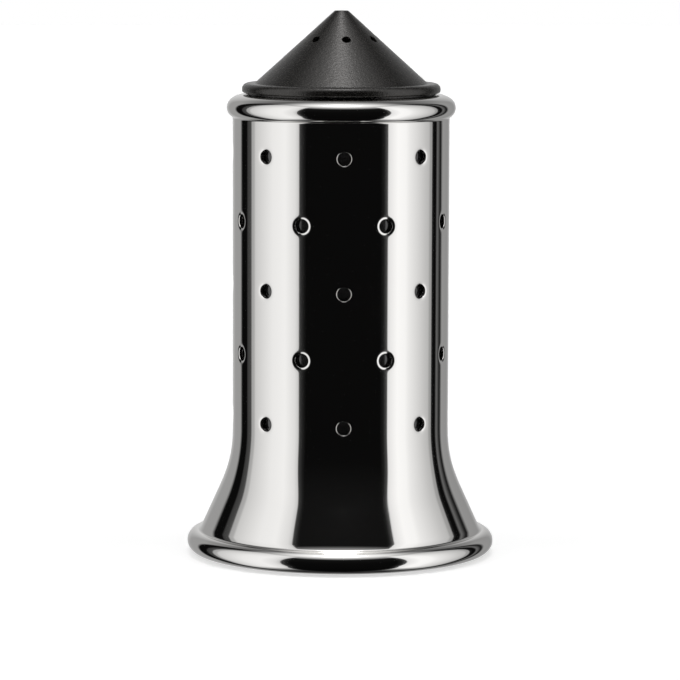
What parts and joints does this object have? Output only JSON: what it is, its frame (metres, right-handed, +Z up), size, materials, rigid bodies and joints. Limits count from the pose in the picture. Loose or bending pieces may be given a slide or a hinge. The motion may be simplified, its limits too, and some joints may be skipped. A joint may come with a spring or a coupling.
{
  "type": "salt shaker",
  "caption": "Table salt shaker: perforated polished steel sleeve with a flared foot over a black container, closed by a lift-off charcoal cone cap with pour holes.",
  "frame": {"origin": "on the shaker's axis at table height, under the foot ring", "axes": "+Z up along the axis towards the cone's tip; -Y is the front, where a column of sleeve holes faces the viewer"},
  "size_m": [0.06, 0.06, 0.106],
  "materials": {
    "polished_steel": "mirror-polished stainless steel",
    "container_polyamide": "glossy black polyamide",
    "cap_polyamide": "fine-grained charcoal polyamide",
    "seal_silicone": "black silicone",
    "base_polyamide": "matte black polyamide",
    "fastener_steel": "plain stainless steel",
    "foot_silicone": "black silicone"
  },
  "bodies": {
    "shaker_body": {"perforated_sleeve": "polished_steel", "salt_container": "container_polyamide", "base_plate": "base_polyamide", "base_screw": "fastener_steel", "screw_washer": "fastener_steel", "foot_ring": "foot_silicone"},
    "seal": {"cap_seal_ring": "seal_silicone"},
    "cap": {"cone_cap": "cap_polyamide"}
  },
  "joints": [
    {"name": "cap_lift", "type": "slide", "parent": "shaker_body", "child": "seal", "axis": [0, 0, 1], "range_m": [0, 0.06]},
    {"name": "cap_turn", "type": "hinge", "parent": "seal", "child": "cap", "pos_m": [0, 0, 0.0902], "axis": [0, 0, 1], "continuous": true}
  ]
}
